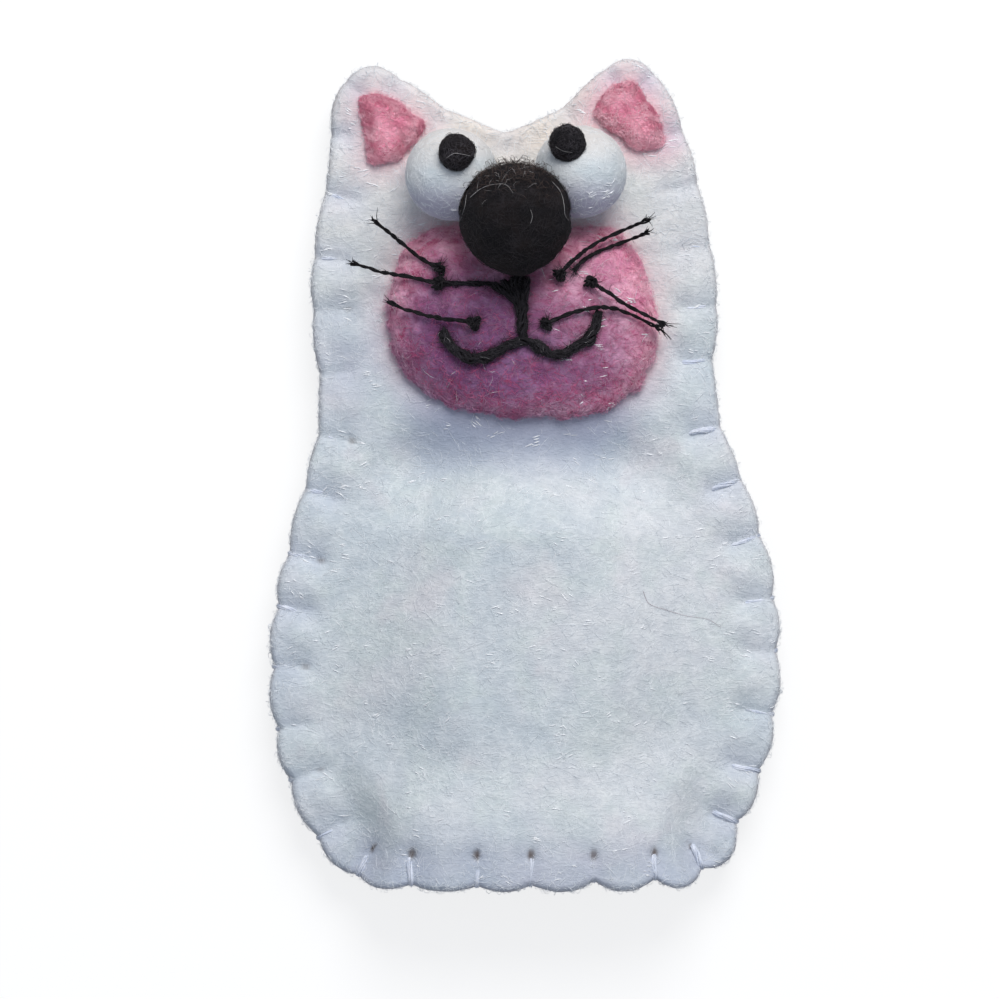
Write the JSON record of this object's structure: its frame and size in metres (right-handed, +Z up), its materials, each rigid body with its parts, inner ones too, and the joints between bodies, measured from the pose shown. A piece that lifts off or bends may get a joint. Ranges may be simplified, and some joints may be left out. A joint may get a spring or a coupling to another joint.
{
  "type": "finger puppet",
  "caption": "Flat hand-stitched felt cat finger puppet with ears, felt-ball eyes and nose, sewn muzzle and whiskers, open at the bottom for a finger.",
  "frame": {"origin": "under the middle of the puppet, on the surface that its back lies on", "axes": "+X to the right of the face as it is looked at, +Y towards the ears, +Z up out of the face"},
  "size_m": [0.0571, 0.0922, 0.0201],
  "materials": {
    "white_felt": "matt wool felt with loose fibres",
    "pink_felt": "matt mottled wool felt",
    "black_felt": "matt wool felt ball",
    "white_thread": "slightly glossy sewing thread",
    "black_thread": "twisted thread"
  },
  "bodies": {
    "root": {"front_panel": "white_felt", "back_panel": "white_felt", "seam_thread": "white_thread", "front_hem_thread": "white_thread", "back_hem_thread": "white_thread", "muzzle_patch": "pink_felt", "left_ear_lining": "pink_felt", "right_ear_lining": "pink_felt", "left_eye_ball": "white_felt", "right_eye_ball": "white_felt", "left_pupil": "black_felt", "right_pupil": "black_felt", "nose_ball": "black_felt", "philtrum_stitch": "black_thread", "smile_stitch": "black_thread", "cheek_stitch": "black_thread", "left_upper_whisker": "black_thread", "left_middle_whisker": "black_thread", "left_lower_whisker": "black_thread", "right_upper_whisker_1": "black_thread", "right_upper_whisker_2": "black_thread", "right_middle_whisker": "black_thread", "right_lower_whisker": "black_thread"}
  },
  "joints": []
}
